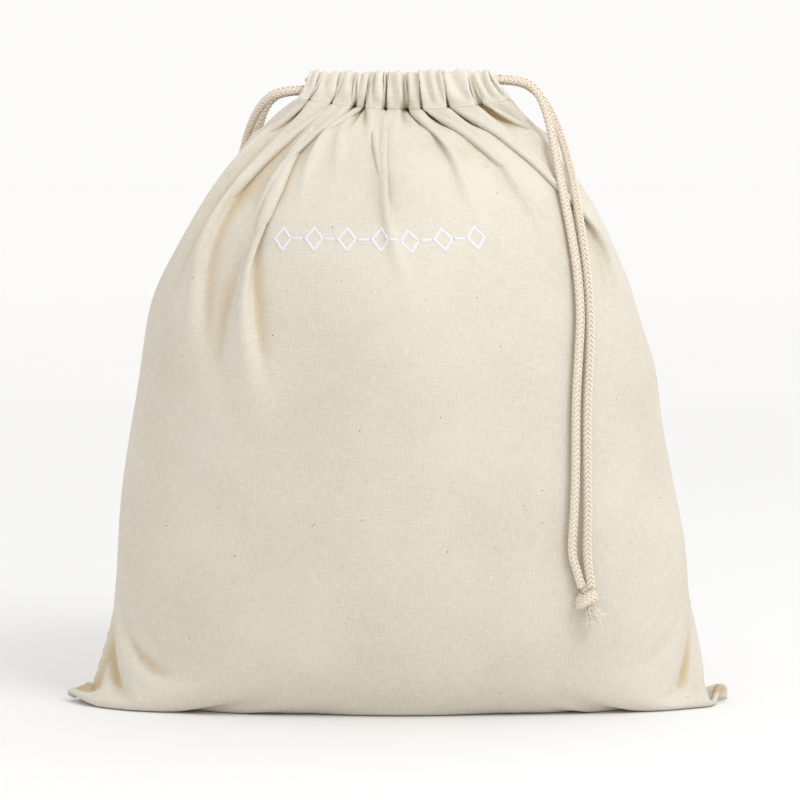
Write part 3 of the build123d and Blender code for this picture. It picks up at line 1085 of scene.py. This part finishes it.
def seam_strip(name, edge, inward, node):
    """The overlocked allowance inside a seam: a strip, and the thread that binds its edge."""
    edge = evenly(edge, 0.002)
    along = lengths_along(edge)
    across = np.linspace(0, 1, 5)
    ripple = 0.0006 * np.sin(along * 2 * math.pi / 0.017)
    points = edge[None] + inward * SEAM_ALLOWANCE * across[:, None, None]
    points[..., 1] += ripple[None] * across[:, None]
    flat = paired(along[None], across[:, None] * SEAM_ALLOWANCE) + 1.7
    strip = grid_object(name, points, SEAM_CLOTH, flat)
    thicken(strip, 2 * CLOTH_THICK)
    finish_piece(strip, "bag", "seam", node)
    marks = np.linspace(0, along[-1], int(along[-1] / 0.0006))
    base = points_at(marks, along, edge)
    phase = marks * 2 * math.pi / 0.0042
    zigzag = base + inward * (SEAM_ALLOWANCE * (0.72 + 0.30 * np.cos(phase))[:, None])
    zigzag[:, 1] += 0.0014 * np.sin(phase)
    thread_piece(f"{name}_overlock", tube(zigzag, THREAD_RADIUS, corners=5))


def all_seams(panels):
    rows = panels.shape[1] - 1
    slot_row = slot_start(rows)
    first = round(SEAM_START / (PANEL_HEIGHT / rows))
    for side, edge, inward in (("left", 0, 1), ("right", -1, -1)):
        line = panels[0, first:slot_row, edge]
        seam_strip(f"{side}_side_seam_strip", line, np.array((inward, 0, 0.15)), f"{side}_side_seam")
    inset = round(BOTTOM_SEAM_START / (PANEL_WIDTH / (panels.shape[2] - 1)))
    bottom = panels[0, 0, inset:-inset] + np.array((0, 0, CLOTH_THICK))
    seam_strip("bottom_seam_strip", bottom, np.array((0, 0.15, 1.0)), "bottom_seam")


def slot_hems(panels):
    """Stitches along each free edge of the two cord slots."""
    slot_row = slot_start(panels.shape[1] - 1)
    parts = []
    for side in (0, 1):
        for edge, inside in ((0, 3), (-1, -4)):
            line = evenly(panels[side, slot_row:, inside], 0.001)
            normal = outward(panels)[side, slot_row:, inside]
            lift = points_at(np.linspace(0, 1, len(line)), np.linspace(0, 1, len(normal)), normal)
            parts.append(stitches_along(line, lift * STITCH_LIFT))
    thread_piece("slot_stitches", join(parts))


SATIN_WIDTH = 0.0019
SATIN_RISE = 0.00055
MOTIF_COUNT = 7
MOTIF_PITCH = 0.021
DIAMOND = (0.0055, 0.0066)  # half width and half height at the middle of its line


def motif_lines():
    """The strokes of the band, as x and z from its middle: open diamonds joined by short bars."""
    wide, tall = DIAMOND
    lines = []
    for index in range(MOTIF_COUNT):
        x = (index - (MOTIF_COUNT - 1) / 2) * MOTIF_PITCH
        corners = [(x, tall), (x + wide, 0), (x, -tall), (x - wide, 0), (x, tall)]
        lines += list(zip(corners[:-1], corners[1:]))
        if index:
            half_gap = MOTIF_PITCH / 2 - wide - 0.0021
            lines.append(((x - MOTIF_PITCH / 2 - half_gap, 0), (x - MOTIF_PITCH / 2 + half_gap, 0)))
    return lines


def on_panel(panel, normals, across, along):
    """Point and normal of a panel at a place given in cells."""
    column, row = int(across), int(along)
    u, v = across - column, along - row
    corners = ((0, 0, (1 - u) * (1 - v)), (0, 1, u * (1 - v)), (1, 0, (1 - u) * v), (1, 1, u * v))
    place = sum(panel[row + r, column + c] * share for r, c, share in corners)
    normal = sum(normals[row + r, column + c] * share for r, c, share in corners)
    return place, normal / np.linalg.norm(normal)


def cells_nearest(panel, x, z):
    """The grid cell of the front panel whose point lies nearest to x and z."""
    distance = (panel[..., 0] - x) ** 2 + (panel[..., 2] - z) ** 2
    row, column = np.unravel_index(np.argmin(distance), distance.shape)
    return float(column), float(row)


def embroidery(panels):
    """Satin-stitched lines laid in the flat cloth, so that they follow its folds."""
    panel = panels[0]
    normals = outward(panels)[0]
    low, high = MOTIF_BOX
    middle = cells_nearest(panel, (low.x + high.x) / 2, (low.z + high.z) / 2)
    columns_per_metre = (panel.shape[1] - 1) / PANEL_WIDTH
    rows_per_metre = (panel.shape[0] - 1) / PANEL_HEIGHT
    profile = np.linspace(-1, 1, 9)
    rise = np.sqrt(1 - np.abs(profile) ** 2.5) * SATIN_RISE + CLOTH_THICK / 2 - 0.0001
    parts, places = [], []
    for start, end in motif_lines():
        start, end = np.array(start), np.array(end)
        length = np.linalg.norm(end - start)
        direction = (end - start) / length
        aside = np.array((-direction[1], direction[0]))
        marks = np.linspace(-0.0006, length + 0.0006, 14)
        ring = []
        for mark in marks:
            for offset, height in zip(profile, rise):
                x, z = start + direction * mark + aside * offset * SATIN_WIDTH / 2
                place, normal = on_panel(
                    panel, normals, middle[0] + x * columns_per_metre, middle[1] + z * rows_per_metre)
                ring.append(place + normal * height)
        parts.append((np.array(ring), grid_faces(len(marks), len(profile), flip=True)))
        places.append(paired(marks[:, None], profile[None] * SATIN_WIDTH / 2).reshape(-1, 2))
    points, quads = join(parts)
    piece = new_object("embroidered_band", points, quads, SATIN, np.concatenate(places))
    finish_piece(piece, "bag", "thread", "embroidered_motif")


# ---- the whole bag ----
def recess_seams(panels):
    """Draws the sewn edges in a little, with a pucker between stitches."""
    rows = panels.shape[1] - 1
    slot_row = slot_start(rows)
    along = np.arange(slot_row) * PANEL_HEIGHT / rows
    depth = 0.0006 + 0.0003 * np.sin(along * 2 * math.pi / 0.011)
    depth += 0.0002 * np.sin(along * 2 * math.pi / 0.0047)
    for edge, inward in ((0, 1), (-1, -1)):
        panels[:, 3:slot_row, edge, 0] += inward * depth[3:]
    return panels


camera()
lights()
stage()
all_cords()
cloth = recess_seams(ironed(simulated_panels()))
for layer_index, layer_name in enumerate(("front", "back")):
    panel_piece(layer_name, cloth[layer_index])
    casing_cloth = casing_piece(layer_name, cloth.shape[2] - 1)
    casing_stitches(layer_name, casing_cloth)
all_seams(cloth)
slot_hems(cloth)
embroidery(cloth)
